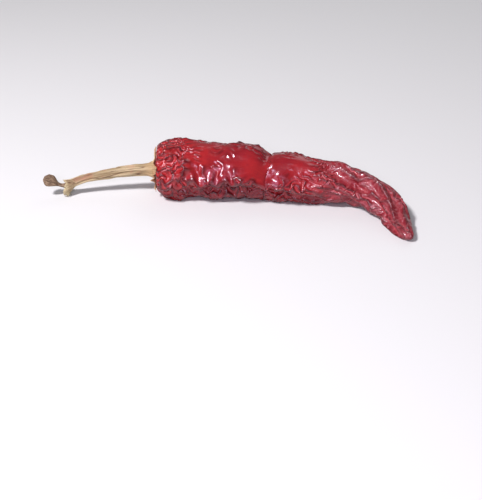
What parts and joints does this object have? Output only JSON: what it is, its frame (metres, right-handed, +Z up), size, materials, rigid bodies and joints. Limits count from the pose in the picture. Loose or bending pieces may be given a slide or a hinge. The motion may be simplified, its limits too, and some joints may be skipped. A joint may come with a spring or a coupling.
{
  "type": "dried chilli pepper",
  "caption": "Long, crumpled dried red chilli lying on its side, with a curved tapering tail, a small lobed calyx and a straw-coloured stem.",
  "frame": {"origin": "centre of the bounding box's base; the chilli lies on Z = 0", "axes": "+X from the stem towards the tail, +Y away from the side the tail curls to, +Z up"},
  "size_m": [0.1482, 0.0418, 0.0219],
  "materials": {
    "skin": "dried wrinkled skin, half glossy",
    "calyx": "matte, papery",
    "stem": "matte, fibrous"
  },
  "bodies": {
    "root": {"pod": "skin", "calyx": "calyx", "stem": "stem"}
  },
  "joints": []
}
